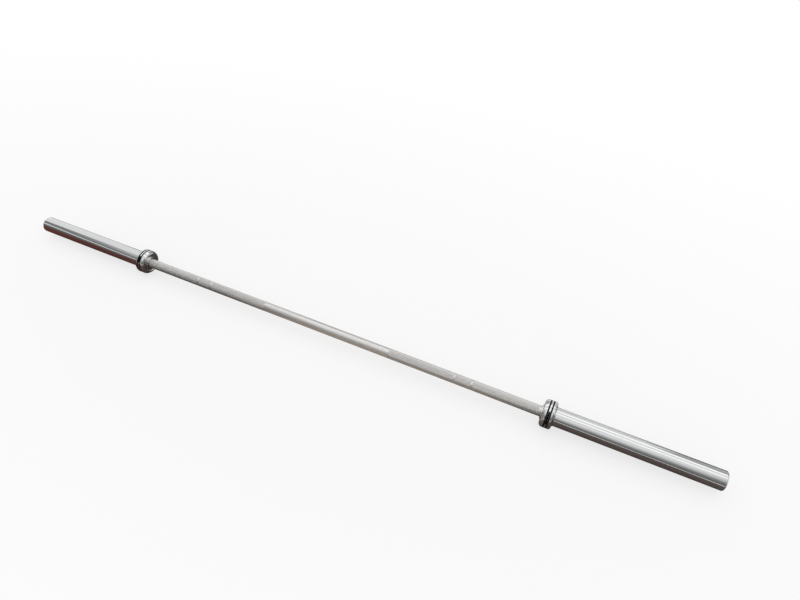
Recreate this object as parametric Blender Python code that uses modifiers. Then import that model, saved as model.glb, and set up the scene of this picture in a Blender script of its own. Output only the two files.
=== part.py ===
"""Deadlift bar: one solid knurled shaft with a free-turning, plate-loading sleeve on each of its ends.

Units are metres and +Z is up. X runs along the bar and the origin is the middle of its axis.
Every turned piece is a half section of (radius, station) points, revolved about its local Z axis.
A station is the distance along the bar from its middle. Empties on the bar's axis turn local Z to
point outwards along X, so that one set of functions makes both sides.
"""
import math

import bpy

# Whole bar
BAR_LENGTH = 2.200
COLLAR_GAP = 1.300  # between the inner faces of the two collars
CLEARANCE = 0.0003  # between two pieces that seat on, or run in, each other
STEPS = 28  # facets round the shaft, sleeves, collars and caps
SMALL_STEPS = 24  # facets round the bearing pieces inside a sleeve
ARC_STEPS = 4  # facets along a rounded corner of a section
SHARP_ANGLE = math.radians(35)  # edges sharper than this are not shaded smooth
MERGE_DISTANCE = 0.00001  # closes each turning where it meets itself or the axis

# Shaft
SHAFT_DIAMETER = 0.0285
KNURL_HEIGHT = 0.0002  # crests of the knurl above the plain shaft
KNURL_RUNOUT = 0.0002  # length over which a knurl rises at its ends
SMOOTH_CENTRE = 0.416  # length without knurl in the middle of the bar
NARROW_MARKS = 0.810  # between the centres of the inner pair of ring marks
WIDE_MARKS = 0.910  # between the centres of the outer pair
MARK_WIDTH = 0.004
PLAIN_END = 0.006  # plain shaft between the knurl and the hub
SHOULDER_CHAMFER = 0.0005
JOURNAL_STEP = 0.00175  # the journals are turned down by this much from the shaft's surface
END_CHAMFER = 0.001
CENTRE_HOLE_RADIUS = 0.0035
CENTRE_HOLE_DEPTH = 0.0035

# Sleeve tube
SLEEVE_DIAMETER = 0.050
SLEEVE_CHAMFER = 0.003
SEAT_STEP = 0.002  # the collar's seat is turned down by this much from the sleeve
HUB_WALL = 0.0019  # round the pocket of the dust seal
HUB_PROUD = 0.0025  # the hub stands this far out of the collar's inner face
HUB_ROUND = 0.0008
MOUTH_CHAMFER = 0.0006
BORE_CLEARANCE = 0.0021  # round the journal, between the two bushes

# Collar
INNER_ROUND = 0.0105  # rounded shoulder on the side of the grip
OUTER_ROUND = 0.007  # rounded shoulder on the side of the plates
STOP_FACE = 0.0018  # radial width of the flat ring that the plates stop against
STOP_FILLET = 0.003  # concave fillet from that ring down to the sleeve
FILLET_TOE = 0.0004  # thickness at which the fillet ends
BAND_WIDTH = 0.0046
BAND_DEPTH = 0.0018
BAND_RECESS = 0.0002  # the black bands lie this far below the collar's surface
BAND_CHAMFER = 0.0004
RIB_WIDTH = 0.0038  # bright rib between the two bands
EDGE_LAND = 0.001  # plain collar beside each band, before the shoulder
DISH_DEPTH = 0.0016  # hollow of the collar's inner face
DISH_SLOPE = 0.0018
COLLAR_LIP = 0.003  # thickness of the collar's inner edge, which closes round the hub
SEAT_LENGTH = 0.028  # from the collar's inner face to the end of the turned-down seat

# Bearings
BUSH_WALL = 0.0025
BUSH_LENGTH = 0.030
BUSH_CHAMFER = 0.0005
FLANGE_HEIGHT = 0.002
FLANGE_THICKNESS = 0.0025
WASHER_THICKNESS = 0.002
SEAL_INSET = 0.0008
SEAL_WIDTH = 0.0045
SEAL_GROOVE_DEPTH = 0.0015
SEAL_LIP = 0.0006

# Retaining rings
SHAFT_RING_THICKNESS = 0.002
SHAFT_GROOVE_DEPTH = 0.0009
SHAFT_END_LAND = 0.0045  # from the groove to the shaft's end
SHAFT_LUG = 0.0042
CAP_RING_THICKNESS = 0.00175
CAP_GROOVE_DEPTH = 0.0014
CAP_LUG = 0.0050
RING_THIN = 0.0020  # radial width beside the lugs
RING_THICK = 0.0036  # radial width opposite the gap
RING_ARCS = 18  # facets along a ring's edge
RING_GAP = math.radians(26)
LUG_WIDTH = 0.0052
LUG_HOLE_RADIUS = 0.0010
HOLE_STEPS = 8

# End cap
END_WALL = 0.0041  # tube wall outside the cap's retaining groove
CAP_RING_INSET = 0.0022  # from the sleeve's end to the ring
CAP_THICKNESS = 0.005
CAP_CHAMFER = 0.0005
CAP_RIM = 0.0045  # radial width of the cap's raised rim
CAP_DISH = 0.0008
CAP_SPACE = 0.006  # free space between the shaft's end and the cap

# Radii that follow from those sizes
shaft_r = SHAFT_DIAMETER / 2
journal_r = shaft_r - JOURNAL_STEP
shaft_groove_r = journal_r - SHAFT_GROOVE_DEPTH
bush_bore_r = journal_r + CLEARANCE
bush_r = bush_bore_r + BUSH_WALL
flange_r = bush_r + FLANGE_HEIGHT
pocket_r = flange_r + CLEARANCE
bore_r = journal_r + BORE_CLEARANCE
sleeve_r = SLEEVE_DIAMETER / 2
collar_seat_r = sleeve_r - SEAT_STEP
hub_r = pocket_r + HUB_WALL
toe_r = sleeve_r + CLEARANCE + FILLET_TOE
collar_r = toe_r + STOP_FILLET + STOP_FACE + OUTER_ROUND
cap_groove_r = sleeve_r - END_WALL
cap_bore_r = cap_groove_r - CAP_GROOVE_DEPTH
cap_r = cap_bore_r - CLEARANCE

# Stations at the collar, counted outwards from the hub
collar_face = COLLAR_GAP / 2
hub_face = collar_face - HUB_PROUD
knurl_end = hub_face - PLAIN_END
seal_start = hub_face + SEAL_INSET
shoulder = seal_start + SEAL_WIDTH
inner_washer_face = shoulder + CLEARANCE
inner_flange_face = inner_washer_face + WASHER_THICKNESS + CLEARANCE
inner_bush_end = inner_flange_face + BUSH_LENGTH
lip_end = collar_face + DISH_DEPTH + COLLAR_LIP
seat_end = collar_face + SEAT_LENGTH
first_band = collar_face + INNER_ROUND + EDGE_LAND
second_band = first_band + BAND_WIDTH + RIB_WIDTH
outer_shoulder = second_band + BAND_WIDTH + EDGE_LAND
stop_face = outer_shoulder + OUTER_ROUND
collar_end = stop_face + STOP_FILLET

# Stations at the sleeve's end, counted inwards from it
sleeve_end = BAR_LENGTH / 2
cap_ring_face = sleeve_end - CAP_RING_INSET
cap_face = cap_ring_face - CAP_RING_THICKNESS - CLEARANCE
cap_back = cap_face - CAP_THICKNESS
shaft_end = cap_back - CAP_SPACE
shaft_groove_end = shaft_end - SHAFT_END_LAND
shaft_ring_face = shaft_groove_end - CLEARANCE
outer_washer_face = shaft_ring_face - SHAFT_RING_THICKNESS - CLEARANCE
outer_flange_face = outer_washer_face - WASHER_THICKNESS - CLEARANCE
outer_bush_end = outer_flange_face - BUSH_LENGTH

# Colour, metallic and roughness of each finish
FINISHES = {
    "satin_chrome": ((0.60, 0.59, 0.57), 1.0, 0.36),
    "bright_chrome": ((0.66, 0.665, 0.67), 1.0, 0.14),
    "black_rubber": ((0.015, 0.015, 0.016), 0.0, 0.55),
    "bearing_bronze": ((0.55, 0.36, 0.16), 1.0, 0.32),
    "ground_steel": ((0.50, 0.50, 0.51), 1.0, 0.28),
    "blackened_spring_steel": ((0.06, 0.06, 0.065), 0.8, 0.42),
    "brushed_chrome": ((0.66, 0.66, 0.66), 1.0, 0.30),
}


def clear_scene():
    """Removes what a new scene starts with."""
    for obj in list(bpy.data.objects):
        bpy.data.objects.remove(obj)


def new_collection(name):
    """A collection for the bar, linked to the scene."""
    collection = bpy.data.collections.new(name)
    bpy.context.scene.collection.children.link(collection)
    return collection


def finish(obj, kind):
    """Gives an object its own material of one of the finishes."""
    colour, metallic, roughness = FINISHES[kind]
    material = bpy.data.materials.new(f"{obj.name}_{kind}")
    material.use_nodes = True
    shader = material.node_tree.nodes["Principled BSDF"]
    shader.inputs["Base Color"].default_value = (*colour, 1.0)
    shader.inputs["Metallic"].default_value = metallic
    shader.inputs["Roughness"].default_value = roughness
    obj.data.materials.append(material)


def axis_empty(collection, name, outward):
    """An empty on the bar's axis: local Z points along X, towards +X or -X, and local X points up."""
    empty = bpy.data.objects.new(name, None)
    empty.rotation_euler = (math.pi if outward > 0 else 0.0, -math.pi / 2, 0.0)
    empty.empty_display_size = SLEEVE_DIAMETER
    collection.objects.link(empty)
    return empty


def corner(centre_radius, centre_station, radius, start, end):
    """Points of a round corner. Angles are in degrees, from +radius (0) towards +station (90)."""
    points = []
    for i in range(ARC_STEPS + 1):
        angle = math.radians(start + (end - start) * i / ARC_STEPS)
        points.append(
            (centre_radius + radius * math.cos(angle), centre_station + radius * math.sin(angle))
        )
    return points


def turned(parent, name, kind, section, steps, ring=True):
    """Revolves a half section about local Z, with a flat facet facing up and another facing down.

    The section runs inwards along its outer side. A ring's section closes on itself, and a solid
    piece's section starts and ends on the axis.
    """
    vertices = [(radius, 0.0, station) for radius, station in section]
    edges = [(i, i + 1) for i in range(len(vertices) - 1)]
    if ring:
        edges.append((len(vertices) - 1, 0))
    profile = bpy.data.meshes.new(name)
    profile.from_pydata(vertices, edges, [])
    obj = bpy.data.objects.new(name, profile)
    parent.users_collection[0].objects.link(obj)
    obj.parent = parent
    obj.rotation_euler = (0.0, 0.0, math.pi / steps)
    screw = obj.modifiers.new("Turning", "SCREW")
    screw.axis = "Z"
    screw.angle = 2 * math.pi
    screw.steps = steps
    screw.render_steps = steps
    screw.use_merge_vertices = True
    screw.merge_threshold = MERGE_DISTANCE
    bpy.context.view_layer.update()
    depsgraph = bpy.context.evaluated_depsgraph_get()
    obj.data = bpy.data.meshes.new_from_object(obj.evaluated_get(depsgraph))
    obj.modifiers.clear()
    obj.data.shade_smooth()
    obj.data.set_sharp_from_angle(angle=SHARP_ANGLE)
    finish(obj, kind)
    return obj


def knurled_lands():
    """Start and end stations of the knurled lengths on one side, between the smooth ring marks."""
    lands = []
    start = SMOOTH_CENTRE / 2
    for centre in sorted((NARROW_MARKS / 2, WIDE_MARKS / 2)):
        lands.append((start, centre - MARK_WIDTH / 2))
        start = centre + MARK_WIDTH / 2
    lands.append((start, knurl_end))
    return [(start, end) for start, end in lands if end > start]


def shaft(parent):
    """The solid shaft: smooth centre, knurled lands, ring marks, shoulders, journals and ring grooves."""
    half = []
    for start, end in knurled_lands():
        runout = min(KNURL_RUNOUT, (end - start) / 3)
        half += [
            (shaft_r, start),
            (shaft_r + KNURL_HEIGHT, start + runout),
            (shaft_r + KNURL_HEIGHT, end - runout),
            (shaft_r, end),
        ]
    groove_start = shaft_ring_face - SHAFT_RING_THICKNESS - CLEARANCE
    half += [
        (shaft_r, shoulder - SHOULDER_CHAMFER),
        (shaft_r - SHOULDER_CHAMFER, shoulder),
        (journal_r, shoulder),
        (journal_r, groove_start),
        (shaft_groove_r, groove_start),
        (shaft_groove_r, shaft_groove_end),
        (journal_r, shaft_groove_end),
        (journal_r, shaft_end - END_CHAMFER),
        (journal_r - END_CHAMFER, shaft_end),
        (CENTRE_HOLE_RADIUS, shaft_end),
        (0.0, shaft_end - CENTRE_HOLE_DEPTH),
    ]
    section = list(reversed(half)) + [(radius, -station) for radius, station in half]
    turned(parent, "shaft", "satin_chrome", section, STEPS, ring=False)


def sleeve_tube(parent, name):
    """The tube that the plates slide on: hub, collar seat, both bearing pockets and the cap's counterbore."""
    outside = [
        (sleeve_r - SLEEVE_CHAMFER, sleeve_end),
        (sleeve_r, sleeve_end - SLEEVE_CHAMFER),
        (sleeve_r, seat_end),
        (collar_seat_r, seat_end),
        (collar_seat_r, lip_end + CLEARANCE),
        (hub_r, lip_end + CLEARANCE),
    ]
    outside += corner(hub_r - HUB_ROUND, hub_face + HUB_ROUND, HUB_ROUND, 0, -90)
    bush_seat_r = bush_r + CLEARANCE
    inner_floor = inner_flange_face + FLANGE_THICKNESS + CLEARANCE
    outer_floor = outer_flange_face - FLANGE_THICKNESS - CLEARANCE
    inside = [
        (pocket_r + MOUTH_CHAMFER, hub_face),
        (pocket_r, hub_face + MOUTH_CHAMFER),
        (pocket_r, inner_floor),
        (bush_seat_r, inner_floor),
        (bush_seat_r, inner_bush_end + CLEARANCE),
        (bore_r, inner_bush_end + CLEARANCE),
        (bore_r, outer_bush_end - CLEARANCE),
        (bush_seat_r, outer_bush_end - CLEARANCE),
        (bush_seat_r, outer_floor),
        (pocket_r, outer_floor),
        (pocket_r, cap_back - CLEARANCE),
        (cap_bore_r, cap_back - CLEARANCE),
        (cap_bore_r, cap_ring_face - CAP_RING_THICKNESS - CLEARANCE),
        (cap_groove_r, cap_ring_face - CAP_RING_THICKNESS - CLEARANCE),
        (cap_groove_r, cap_ring_face + CLEARANCE),
        (cap_bore_r, cap_ring_face + CLEARANCE),
        (cap_bore_r, sleeve_end - MOUTH_CHAMFER),
        (cap_bore_r + MOUTH_CHAMFER, sleeve_end),
    ]
    turned(parent, name, "bright_chrome", outside + inside, STEPS)


def band_groove(start):
    """Section of the groove for one black band, running inwards."""
    floor_r = collar_r - BAND_DEPTH
    end = start + BAND_WIDTH
    return [(collar_r, end), (floor_r, end), (floor_r, start), (collar_r, start)]


def collar(parent, name):
    """The stop ring: dished inner face, rounded shoulders, two band grooves and a fillet to the sleeve."""
    inner_crown_r = collar_r - INNER_ROUND
    section = corner(toe_r + STOP_FILLET, collar_end, STOP_FILLET, 180, 270)
    section += corner(collar_r - OUTER_ROUND, outer_shoulder, OUTER_ROUND, 90, 0)
    section += band_groove(second_band)
    section += band_groove(first_band)
    section += corner(inner_crown_r, collar_face + INNER_ROUND, INNER_ROUND, 0, -90)
    section += [
        (inner_crown_r - DISH_SLOPE, collar_face + DISH_DEPTH),
        (hub_r + CLEARANCE, collar_face + DISH_DEPTH),
        (hub_r + CLEARANCE, lip_end),
        (collar_seat_r + CLEARANCE, lip_end),
        (collar_seat_r + CLEARANCE, seat_end - CLEARANCE),
        (sleeve_r + CLEARANCE, seat_end - CLEARANCE),
        (sleeve_r + CLEARANCE, collar_end),
    ]
    turned(parent, name, "bright_chrome", section, STEPS)


def band(parent, name, start):
    """A black rubber band lying in its groove."""
    outer_r = collar_r - BAND_RECESS
    inner_r = collar_r - BAND_DEPTH + CLEARANCE
    low = start + CLEARANCE
    high = start + BAND_WIDTH - CLEARANCE
    section = [
        (outer_r - BAND_CHAMFER, high),
        (outer_r, high - BAND_CHAMFER),
        (outer_r, low + BAND_CHAMFER),
        (outer_r - BAND_CHAMFER, low),
        (inner_r, low),
        (inner_r, high),
    ]
    turned(parent, name, "black_rubber", section, STEPS)


def dust_seal(parent, name):
    """A rubber ring in the hub's mouth, with a vee groove that leaves a thin lip on the shaft."""
    outer_r = pocket_r - CLEARANCE
    inner_r = shaft_r + CLEARANCE
    section = [
        (outer_r, shoulder),
        (outer_r, seal_start),
        (outer_r - SEAL_LIP, seal_start),
        ((outer_r + inner_r) / 2, seal_start + SEAL_GROOVE_DEPTH),
        (inner_r + SEAL_LIP, seal_start),
        (inner_r, seal_start),
        (inner_r, shoulder),
    ]
    turned(parent, name, "black_rubber", section, SMALL_STEPS)


def washer(parent, name, low):
    """A ground thrust washer on the journal."""
    high = low + WASHER_THICKNESS
    section = [(flange_r, high), (flange_r, low), (bush_bore_r, low), (bush_bore_r, high)]
    turned(parent, name, "ground_steel", section, SMALL_STEPS)


def bush(parent, name, face, direction):
    """A flanged bush. Its body runs outwards (+1) or inwards (-1) from the flange's outer face."""
    depths = [
        (bush_r - BUSH_CHAMFER, BUSH_LENGTH),
        (bush_r, BUSH_LENGTH - BUSH_CHAMFER),
        (bush_r, FLANGE_THICKNESS),
        (flange_r, FLANGE_THICKNESS),
        (flange_r, 0.0),
        (bush_bore_r + BUSH_CHAMFER, 0.0),
        (bush_bore_r, BUSH_CHAMFER),
        (bush_bore_r, BUSH_LENGTH),
    ]
    section = [(radius, face + direction * depth) for radius, depth in depths]
    if direction < 0:
        section.reverse()
    turned(parent, name, "bearing_bronze", section, SMALL_STEPS)


def end_cap(parent, name):
    """The disc that closes the sleeve, with a raised rim round a shallow, bare recess."""
    section = [
        (0.0, cap_face - CAP_DISH),
        (cap_r - CAP_RIM, cap_face - CAP_DISH),
        (cap_r - CAP_RIM + CAP_DISH, cap_face),
        (cap_r - CAP_CHAMFER, cap_face),
        (cap_r, cap_face - CAP_CHAMFER),
        (cap_r, cap_back),
        (0.0, cap_back),
    ]
    turned(parent, name, "brushed_chrome", section, STEPS, ring=False)


def add_outline(curve, points):
    """Adds one closed outline to a flat curve."""
    spline = curve.splines.new("POLY")
    spline.points.add(len(points) - 1)
    for point, (x, y) in zip(spline.points, points):
        point.co = (x, y, 0.0, 1.0)
    spline.use_cyclic_u = True


def polar(radius, angle):
    """A point of a flat outline."""
    return (radius * math.cos(angle), radius * math.sin(angle))


def retaining_ring(parent, name, seat_r, away, lug, thickness, face):
    """A flat spring ring with a gap between two drilled lugs, tapering from its back to the lugs.

    Its edge in the groove is round, at seat_r. Its body and lugs lie outside that edge where away is
    +1, as on a shaft, and inside it where away is -1, as in a bore. The gap points up.
    """
    half_gap = RING_GAP / 2
    lug_r = seat_r + away * lug
    lug_angle = LUG_WIDTH / lug_r
    body_start = half_gap + lug_angle
    turn = 2 * math.pi
    seated = []
    free = []
    for i in range(RING_ARCS + 1):
        along = i / RING_ARCS
        seated.append(polar(seat_r, half_gap + (turn - 2 * half_gap) * along))
        angle = body_start + (turn - 2 * body_start) * along
        width = RING_THIN + (RING_THICK - RING_THIN) * (1 - math.cos(angle)) / 2
        free.append(polar(seat_r + away * width, angle))
    first_lug = [polar(lug_r, body_start), polar(lug_r, half_gap)]
    second_lug = [polar(lug_r, turn - half_gap), polar(lug_r, turn - body_start)]
    curve = bpy.data.curves.new(name, "CURVE")
    curve.dimensions = "2D"
    curve.fill_mode = "BOTH"
    curve.extrude = thickness / 2
    add_outline(curve, seated + second_lug + list(reversed(free)) + first_lug)
    for angle in (half_gap + lug_angle / 2, turn - half_gap - lug_angle / 2):
        x, y = polar(seat_r + away * lug / 2, angle)
        circle = [polar(LUG_HOLE_RADIUS, turn * i / HOLE_STEPS) for i in range(HOLE_STEPS)]
        add_outline(curve, [(x + dx, y + dy) for dx, dy in circle])
    obj = bpy.data.objects.new(name, curve)
    parent.users_collection[0].objects.link(obj)
    obj.parent = parent
    obj.location = (0.0, 0.0, face - thickness / 2)
    finish(obj, "blackened_spring_steel")


def build_side(collection, side, outward):
    """The pieces of one side: those fixed to the shaft, and those that turn with the sleeve."""
    on_shaft = axis_empty(collection, f"{side}_shaft_end", outward)
    washer(on_shaft, f"{side}_inner_thrust_washer", inner_washer_face)
    washer(on_shaft, f"{side}_outer_thrust_washer", outer_washer_face - WASHER_THICKNESS)
    retaining_ring(
        on_shaft,
        f"{side}_shaft_ring",
        seat_r=shaft_groove_r + CLEARANCE,
        away=1,
        lug=SHAFT_LUG,
        thickness=SHAFT_RING_THICKNESS,
        face=shaft_ring_face,
    )
    on_sleeve = axis_empty(collection, f"{side}_sleeve_axis", outward)
    sleeve_tube(on_sleeve, f"{side}_sleeve_tube")
    collar(on_sleeve, f"{side}_collar")
    band(on_sleeve, f"{side}_inner_band", first_band)
    band(on_sleeve, f"{side}_outer_band", second_band)
    dust_seal(on_sleeve, f"{side}_dust_seal")
    bush(on_sleeve, f"{side}_inner_bush", inner_flange_face, 1)
    bush(on_sleeve, f"{side}_outer_bush", outer_flange_face, -1)
    end_cap(on_sleeve, f"{side}_end_cap")
    retaining_ring(
        on_sleeve,
        f"{side}_end_cap_ring",
        seat_r=cap_groove_r - CLEARANCE,
        away=-1,
        lug=CAP_LUG,
        thickness=CAP_RING_THICKNESS,
        face=cap_ring_face,
    )


def main():
    clear_scene()
    collection = new_collection("deadlift_bar")
    shaft(axis_empty(collection, "bar_axis", 1))
    build_side(collection, "left", -1)
    build_side(collection, "right", 1)


main()
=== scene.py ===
# %% [markdown]
# # A deadlift bar
#
# The bar is one long steel shaft with a chromed sleeve turning freely on each end. Nearly every piece
# of the real bar is turned on a lathe, so nearly every piece here is a half section spun about the bar's
# axis. The great exception is the knurl, thousands of small diamonds pressed into the shaft, and it gets
# its own way of being made.
#
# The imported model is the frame: it says where each piece starts and ends, and which body carries it.

import math

import bmesh
import bpy
from mathutils import Matrix, Vector


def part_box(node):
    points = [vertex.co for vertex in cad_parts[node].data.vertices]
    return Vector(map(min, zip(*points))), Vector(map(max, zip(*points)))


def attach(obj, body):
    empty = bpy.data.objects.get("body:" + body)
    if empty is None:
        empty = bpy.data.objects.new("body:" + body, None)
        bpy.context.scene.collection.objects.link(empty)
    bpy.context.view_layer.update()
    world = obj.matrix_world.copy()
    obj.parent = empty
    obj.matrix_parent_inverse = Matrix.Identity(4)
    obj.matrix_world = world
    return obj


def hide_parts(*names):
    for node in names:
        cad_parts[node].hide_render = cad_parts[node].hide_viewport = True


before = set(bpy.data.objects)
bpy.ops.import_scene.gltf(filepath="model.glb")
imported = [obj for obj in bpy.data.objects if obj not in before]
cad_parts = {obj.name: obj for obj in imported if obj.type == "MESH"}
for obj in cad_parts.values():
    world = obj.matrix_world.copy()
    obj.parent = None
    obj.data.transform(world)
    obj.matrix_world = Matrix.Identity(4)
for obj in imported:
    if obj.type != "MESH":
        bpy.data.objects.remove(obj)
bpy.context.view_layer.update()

# %% [markdown]
# Blender measures a turned piece from flat to flat, because the frame's pieces have flat facets. The
# stations along the bar need no correction, so they are read from the frame, and the round sizes are
# the few that a machinist would read from the drawing.
#
# A station is a distance from the middle of the bar. Both ends of the bar are alike, so each station is
# read once, on the right, and used on both sides.

# %% Stations from the frame, and the drawing's round sizes
SIDES = {"left": -1, "right": 1}


def stations(node):
    """Where a node of the right side starts and ends along the bar."""
    low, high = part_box(f"right_{node}")
    return low.x, high.x


hub_face, sleeve_end = stations("sleeve_tube")
collar_face, collar_end = stations("collar")
seal_start, seal_end = stations("dust_seal")
cap_back, cap_face = stations("end_cap")
cap_ring_back, cap_ring_face = stations("end_cap_ring")
inner_bush_face, inner_bush_end = stations("inner_bush")
outer_bush_end, outer_bush_face = stations("outer_bush")
shaft_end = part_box("shaft")[1].x

MM = 0.001
GAP = 0.3 * MM  # between pieces that seat on each other
SHAFT_R = 14.25 * MM
JOURNAL_R = 12.5 * MM
SLEEVE_R = 25.0 * MM
HUB_R = 19.5 * MM
COLLAR_R = 37.5 * MM
print(f"collar from {collar_face:.4f} to {collar_end:.4f} m, sleeve ends at {sleeve_end:.4f} m")

# %% [markdown]
# ## Finishes
#
# The bar has one metal look in three strengths: soft on the smooth shaft, broken up by the diamonds on the
# knurl, and a mirror with fine lathe lines on the sleeves and collars. The effects that they share are
# node groups, so that a change to the lathe lines changes them on every piece.
#
# A group could hold the whole shader, but then an exporter can't see inside it. So a group gives out only
# values that change over the surface, and the Principled shader stays in each material.

# %% Helpers for node groups and materials
def new_group(name, inputs, outputs):
    """An empty shader group with named number inputs, a place vector and number outputs."""
    group = bpy.data.node_groups.new(name, "ShaderNodeTree")
    group.interface.new_socket("Place", in_out="INPUT", socket_type="NodeSocketVector")
    for label, value in inputs.items():
        socket = group.interface.new_socket(label, in_out="INPUT", socket_type="NodeSocketFloat")
        socket.default_value = value
    for label in outputs:
        group.interface.new_socket(label, in_out="OUTPUT", socket_type="NodeSocketFloat")
    return group, group.nodes.new("NodeGroupInput"), group.nodes.new("NodeGroupOutput")


def math_node(tree, operation, first, second=None):
    """A Math node whose inputs are sockets or plain numbers. Gives its output socket."""
    node = tree.nodes.new("ShaderNodeMath")
    node.operation = operation
    for slot, value in zip(node.inputs, (first, second)):
        if isinstance(value, bpy.types.NodeSocket):
            tree.links.new(value, slot)
        elif value is not None:
            slot.default_value = value
    return node.outputs[0]


def map_range(tree, value, low, high, to_low, to_high):
    """Turns low..high into to_low..to_high, held at the ends."""
    node = tree.nodes.new("ShaderNodeMapRange")
    tree.links.new(value, node.inputs["Value"])
    for label, number in (("From Min", low), ("From Max", high), ("To Min", to_low), ("To Max", to_high)):
        node.inputs[label].default_value = number
    return node.outputs["Result"]


def noise(tree, vector, detail, roughness, scale=1.0):
    """A noise texture's value at a vector."""
    node = tree.nodes.new("ShaderNodeTexNoise")
    tree.links.new(vector, node.inputs["Vector"])
    node.inputs["Scale"].default_value = scale
    node.inputs["Detail"].default_value = detail
    node.inputs["Roughness"].default_value = roughness
    return node.outputs["Fac"]


def stretch(tree, vector, scale):
    """A vector multiplied along each axis."""
    node = tree.nodes.new("ShaderNodeVectorMath")
    node.operation = "MULTIPLY"
    tree.links.new(vector, node.inputs[0])
    node.inputs[1].default_value = scale
    return node.outputs[0]


def distance(tree, vector):
    """The length of a vector."""
    node = tree.nodes.new("ShaderNodeVectorMath")
    node.operation = "LENGTH"
    tree.links.new(vector, node.inputs[0])
    return node.outputs["Value"]


def mix_colours(tree, factor, first, second):
    """A mix of two colours, each a socket or three numbers. Gives the mixed colour's socket."""
    node = tree.nodes.new("ShaderNodeMix")
    node.data_type = "RGBA"
    tree.links.new(factor, node.inputs["Factor"])
    for slot, colour in zip(node.inputs[6:8], (first, second)):  # the node's two colour inputs
        if isinstance(colour, bpy.types.NodeSocket):
            tree.links.new(colour, slot)
        else:
            slot.default_value = (*colour, 1)
    return node.outputs[2]


def new_material(name):
    """A material and its node tree."""
    material = bpy.data.materials.new(name)
    material.use_nodes = True
    return material, material.node_tree


# %% [markdown]
# **Lathe lines.** A turning tool leaves a fine spiral: the height changes quickly along the bar and
# hardly at all round it. A wave texture would repeat too evenly, so this is noise that is squeezed along
# X. Lines this fine are what draws a reflection out into long streaks along the sleeve.

# %% Group: lathe lines
FINE_LINES = (2600, 14, 14)  # changes a metre along X, Y and Z
COARSE_LINES = (170, 5, 5)


def build_lathe_lines():
    group, given, out = new_group("lathe_lines", {}, ("Fine", "Coarse"))
    place = given.outputs["Place"]
    fine = noise(group, stretch(group, place, FINE_LINES), detail=3.0, roughness=0.6)
    coarse = noise(group, stretch(group, place, COARSE_LINES), detail=2.0, roughness=0.5)
    group.links.new(fine, out.inputs["Fine"])
    group.links.new(coarse, out.inputs["Coarse"])
    return group


lathe_lines = build_lathe_lines()

# %% [markdown]
# **Rub marks.** Plates slide along a sleeve and leave hair-fine scratches that run along it, and hands
# leave soft smudges. Both only touch the roughness, because chrome is too hard for more.

# %% Group: rub marks
HAIRS = (9, 900, 900)  # changes a metre along X, Y and Z
PATCHES = (14, 40, 40)
SMUDGES = (22, 30, 30)


def build_rub_marks():
    group, given, out = new_group("rub_marks", {"Amount": 0.5}, ("Scratches", "Smudges"))
    place, amount = given.outputs["Place"], given.outputs["Amount"]
    hairs = noise(group, stretch(group, place, HAIRS), detail=2.0, roughness=0.7)
    hairs = map_range(group, hairs, 0.60, 0.72, 0.0, 1.0)
    patches = noise(group, stretch(group, place, PATCHES), detail=3.0, roughness=0.6)
    patches = map_range(group, patches, 0.42, 0.68, 0.0, 1.0)
    scratches = math_node(group, "MULTIPLY", hairs, patches)
    smudges = noise(group, stretch(group, place, SMUDGES), detail=4.0, roughness=0.55)
    group.links.new(math_node(group, "MULTIPLY", scratches, amount), out.inputs["Scratches"])
    group.links.new(math_node(group, "MULTIPLY", smudges, amount), out.inputs["Smudges"])
    return group


rub_marks = build_rub_marks()

# %% [markdown]
# **Knurl depth.** The diamonds' tips are rubbed bright and their valleys hold a little grey. A vertex
# colour could say which is which, but the distance from the bar's axis says it just as well and needs
# no painting: it is 0 in the valleys and 1 at the tips.

# %% Group: knurl depth
KNURL_VALLEY_R = 14.13 * MM
KNURL_CREST_R = 14.41 * MM
ACROSS = (0, 1, 1)  # takes a place's distance along the bar away


def build_knurl_depth():
    group, given, out = new_group("knurl_depth", {}, ("Tips",))
    radius = distance(group, stretch(group, given.outputs["Place"], ACROSS))
    tips = map_range(group, radius, KNURL_VALLEY_R, KNURL_CREST_R, 0.0, 1.0)
    group.links.new(tips, out.inputs["Tips"])
    return group


knurl_depth = build_knurl_depth()


# %% Helpers for one material
class Finish:
    """A material with its Principled shader, and short ways to reach its sockets."""

    def __init__(self, name, colour, metallic, roughness):
        self.material, self.tree = new_material(name)
        self.shader = self.tree.nodes["Principled BSDF"]
        self.shader.inputs["Base Color"].default_value = (*colour, 1.0)
        self.shader.inputs["Metallic"].default_value = metallic
        self.shader.inputs["Roughness"].default_value = roughness
        self.colour = colour
        self.place = self.tree.nodes.new("ShaderNodeTexCoord").outputs["Object"]

    def group(self, group, **values):
        """Places a shared effect, with its inputs set, and gives its outputs."""
        node = self.tree.nodes.new("ShaderNodeGroup")
        node.node_tree = group
        self.tree.links.new(self.place, node.inputs["Place"])
        for label, value in values.items():
            node.inputs[label].default_value = value
        return node.outputs

    def shade(self, factor, dark, light):
        """Base colour between two multiples of the finish's own colour."""
        ends = [[channel * share for channel in self.colour] for share in (dark, light)]
        self.tree.links.new(mix_colours(self.tree, factor, *ends), self.shader.inputs["Base Color"])

    def rough(self, value):
        self.tree.links.new(value, self.shader.inputs["Roughness"])

    def bump(self, height, depth, strength=1.0):
        """Fine relief, with its real depth in metres."""
        node = self.tree.nodes.new("ShaderNodeBump")
        node.inputs["Strength"].default_value = strength
        node.inputs["Distance"].default_value = depth
        self.tree.links.new(height, node.inputs["Height"])
        self.tree.links.new(node.outputs["Normal"], self.shader.inputs["Normal"])


# %% [markdown]
# **Sleeve and collar chrome.** Chromium reflects about two thirds of the light, a little less than
# silver does, so its colour is a plain light grey and everything else comes from what it mirrors. The
# sleeve has longer lathe lines and rub marks, the collar is polished a little finer.

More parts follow.
